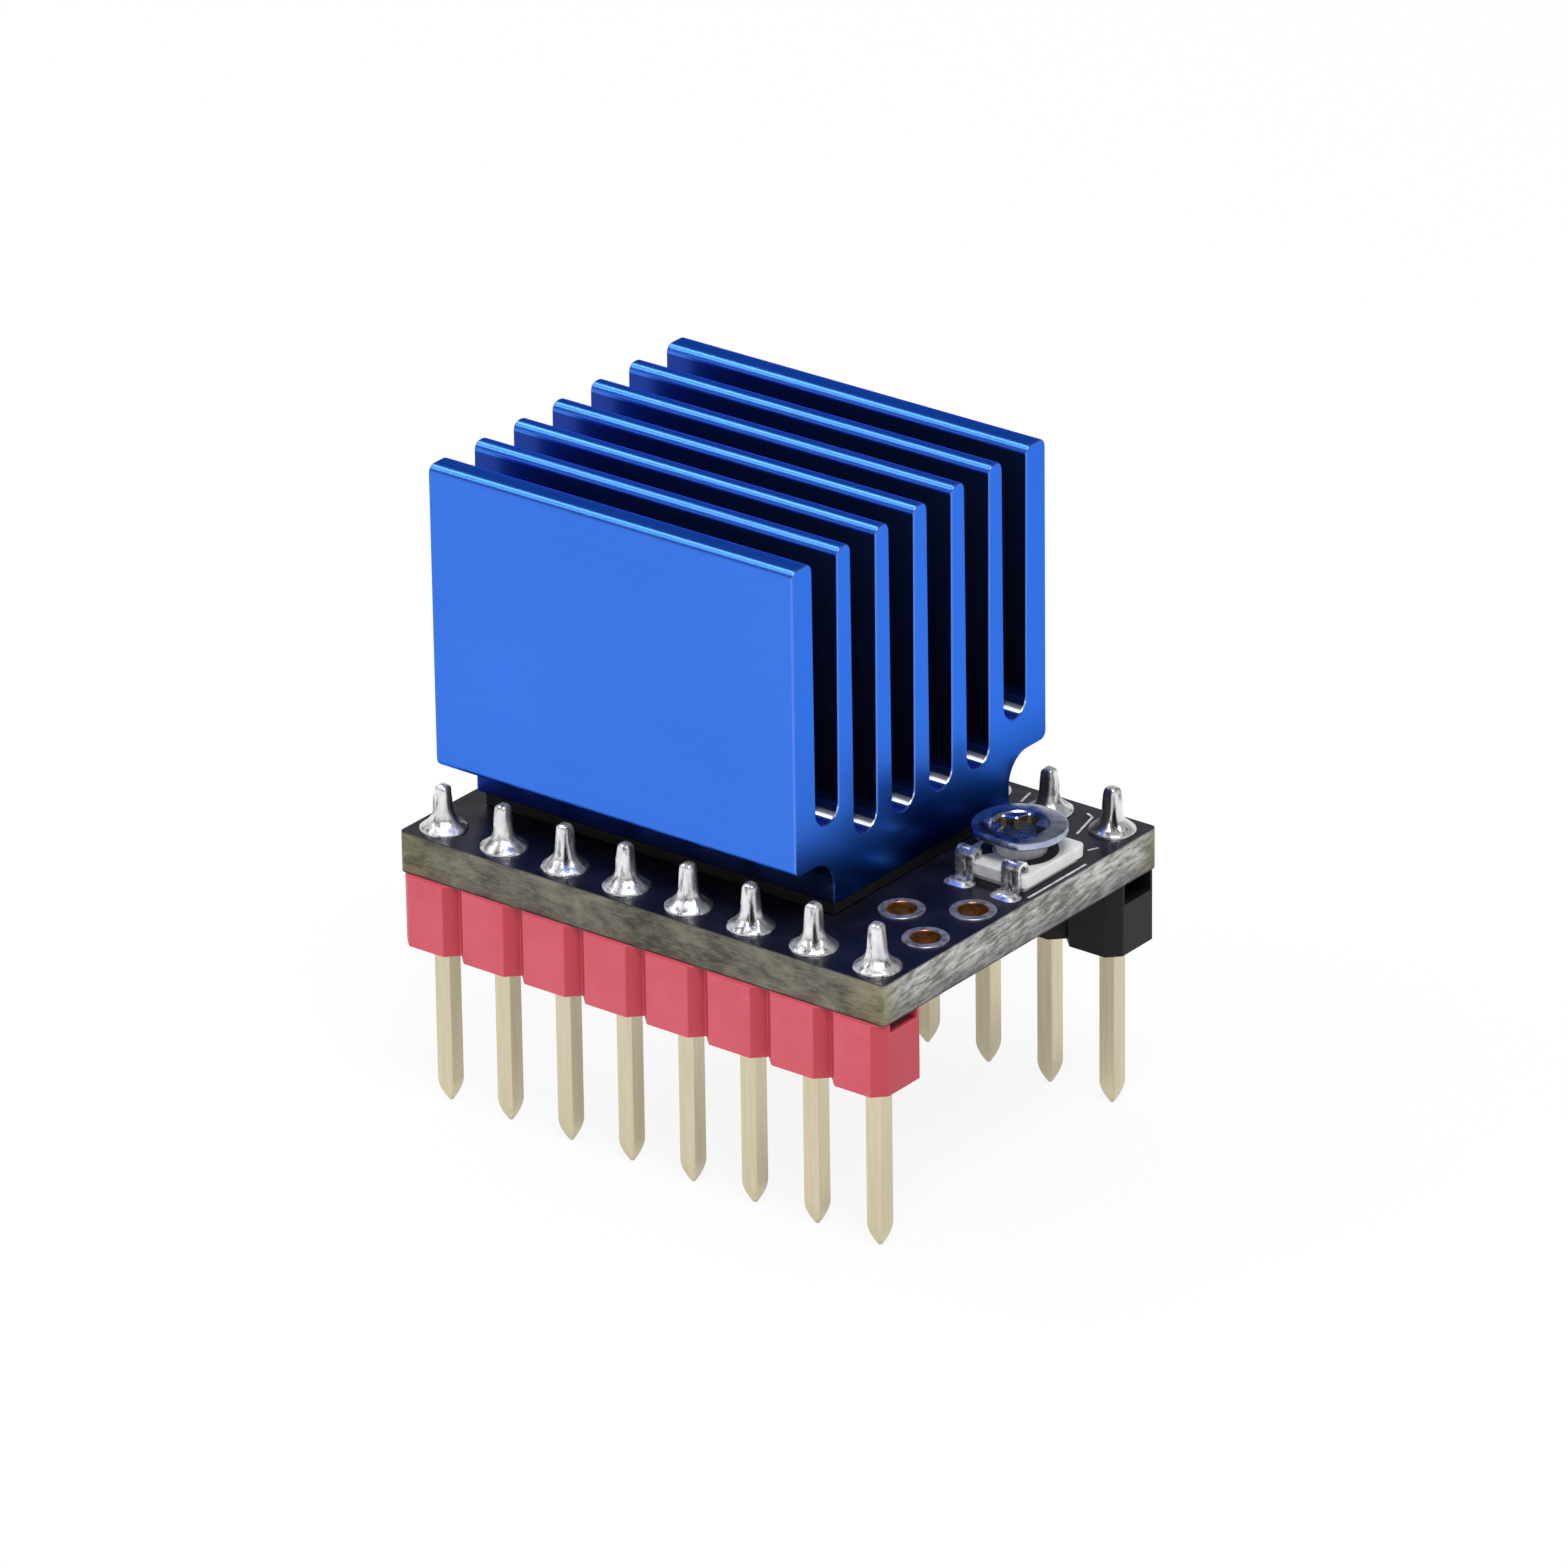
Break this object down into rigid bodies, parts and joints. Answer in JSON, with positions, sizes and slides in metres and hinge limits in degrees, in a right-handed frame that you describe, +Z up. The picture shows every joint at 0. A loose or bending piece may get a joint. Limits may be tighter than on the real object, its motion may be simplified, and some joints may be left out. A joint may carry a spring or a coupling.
{
  "type": "stepper motor driver module",
  "caption": "Plug-in stepper motor driver: a small dark circuit board on two pin headers, with a blue finned heatsink, solder joints and a turnable current trimmer on top.",
  "frame": {"origin": "midway between the two pin rows and along them, in the plane of the pin tips", "axes": "+X along the pin rows towards the trimmer, +Y from the front (red) row to the rear (black) row, +Z up from the pin tips to the fins"},
  "size_m": [0.0198, 0.0152, 0.0228],
  "materials": {
    "board_laminate": "dark blue-black solder resist with bare fibre edges",
    "anodised_blue": "satin blue anodised extrusion",
    "pad_grey": "soft dark grey adhesive pad",
    "header_plastic_front": "moulded red plastic",
    "header_plastic_rear": "moulded black plastic",
    "pin_gold": "pale gold flash",
    "solder_tin": "bright solder",
    "hole_plating": "tinned ring with a copper wall",
    "trimmer_ceramic": "pale grey ceramic",
    "rotor_metal": "pressed bright metal",
    "terminal_tin": "tinned strip",
    "chip_resin": "moulded black resin",
    "capacitor_ceramic": "brown ceramic with tinned ends",
    "resistor_glaze": "black glaze with tinned ends"
  },
  "bodies": {
    "module": {"circuit_board": "board_laminate", "heatsink": "anodised_blue", "thermal_pad": "pad_grey", "header_housing_front": "header_plastic_front", "header_housing_rear": "header_plastic_rear", "pin_front_1": "pin_gold", "pin_front_2": "pin_gold", "pin_front_3": "pin_gold", "pin_front_4": "pin_gold", "pin_front_5": "pin_gold", "pin_front_6": "pin_gold", "pin_front_7": "pin_gold", "pin_front_8": "pin_gold", "pin_rear_1": "pin_gold", "pin_rear_2": "pin_gold", "pin_rear_3": "pin_gold", "pin_rear_4": "pin_gold", "pin_rear_5": "pin_gold", "pin_rear_6": "pin_gold", "pin_rear_7": "pin_gold", "pin_rear_8": "pin_gold", "solder_front_1": "solder_tin", "solder_front_2": "solder_tin", "solder_front_3": "solder_tin", "solder_front_4": "solder_tin", "solder_front_5": "solder_tin", "solder_front_6": "solder_tin", "solder_front_7": "solder_tin", "solder_front_8": "solder_tin", "solder_rear_1": "solder_tin", "solder_rear_2": "solder_tin", "solder_rear_3": "solder_tin", "solder_rear_4": "solder_tin", "solder_rear_5": "solder_tin", "solder_rear_6": "solder_tin", "solder_rear_7": "solder_tin", "solder_rear_8": "solder_tin", "plated_hole_1": "hole_plating", "plated_hole_2": "hole_plating", "plated_hole_3": "hole_plating", "trimmer_base": "trimmer_ceramic", "trimmer_end_terminal_1": "terminal_tin", "trimmer_end_terminal_2": "terminal_tin", "trimmer_wiper_terminal": "terminal_tin", "driver_chip": "chip_resin", "sense_resistor_a": "resistor_glaze", "sense_resistor_b": "resistor_glaze", "supply_capacitor_a": "capacitor_ceramic", "supply_capacitor_b": "capacitor_ceramic", "charge_pump_capacitor": "capacitor_ceramic", "regulator_capacitor": "capacitor_ceramic", "reference_resistor_a": "resistor_glaze", "reference_resistor_b": "resistor_glaze"},
    "rotor": {"trimmer_rotor": "rotor_metal"}
  },
  "joints": [
    {"name": "trimmer_turn", "type": "hinge", "parent": "module", "child": "rotor", "pos_m": [0.00817, 0.00225, 0.0099], "axis": [0, 0, 1], "range_deg": [-130, 130]}
  ]
}
